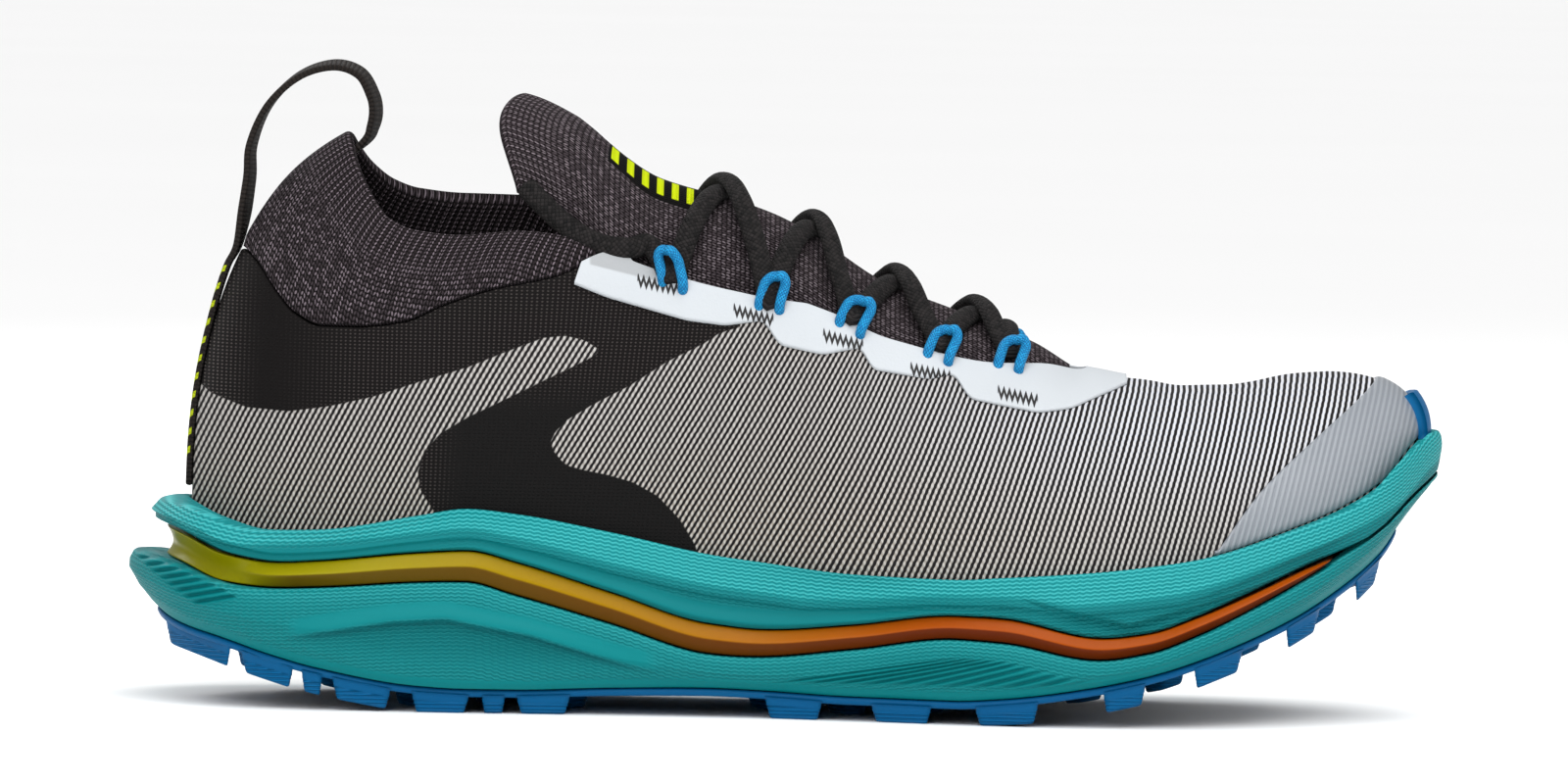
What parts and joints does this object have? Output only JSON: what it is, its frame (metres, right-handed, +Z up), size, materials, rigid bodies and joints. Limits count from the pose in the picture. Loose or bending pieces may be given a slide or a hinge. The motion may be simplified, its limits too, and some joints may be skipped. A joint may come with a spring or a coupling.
{
  "type": "trail running shoe",
  "caption": "Low-cut trail running shoe with knit ankle collar, striped woven upper, split foam midsole and lugged outsole.",
  "frame": {"origin": "on the ground under the middle of the shoe's length and width", "axes": "+X to the toe, +Y to the inner (medial) side of the foot, +Z up"},
  "size_m": [0.2986, 0.114, 0.1459],
  "materials": {
    "foam_upper": "satin moulded foam with a fine wavy skin",
    "foam_lower": "satin moulded foam with a fine wavy skin",
    "band": "glossy, yellow at the heel to orange at the toe",
    "rubber": "satin moulded rubber",
    "sock_liner": "matt brushed cloth",
    "woven_upper": "matt weave in fine light and dark stripes",
    "knit": "matt knit, ribbed at the edge",
    "overlay_white": "smooth bonded film on cloth",
    "toe_film": "thin satin film",
    "webbing": "woven tape",
    "lace": "braided cord",
    "loop_cord": "braided cord"
  },
  "bodies": {
    "root": {"midsole_top": "foam_upper", "midsole_band": "band", "midsole_bottom": "foam_lower", "outsole": "rubber", "insole": "sock_liner", "upper": "woven_upper", "knit_collar": "knit", "tongue": "knit", "eyestay": "overlay_white", "toe_cap": "toe_film", "toe_bumper": "rubber", "heel_strap": "webbing", "laces": "lace", "lace_end_lateral": "lace", "lace_end_medial": "lace", "lace_loop_lateral_1": "loop_cord", "lace_loop_medial_1": "loop_cord", "lace_loop_lateral_2": "loop_cord", "lace_loop_medial_2": "loop_cord", "lace_loop_lateral_3": "loop_cord", "lace_loop_medial_3": "loop_cord", "lace_loop_lateral_4": "loop_cord", "lace_loop_medial_4": "loop_cord", "lace_loop_lateral_5": "loop_cord", "lace_loop_medial_5": "loop_cord"}
  },
  "joints": []
}
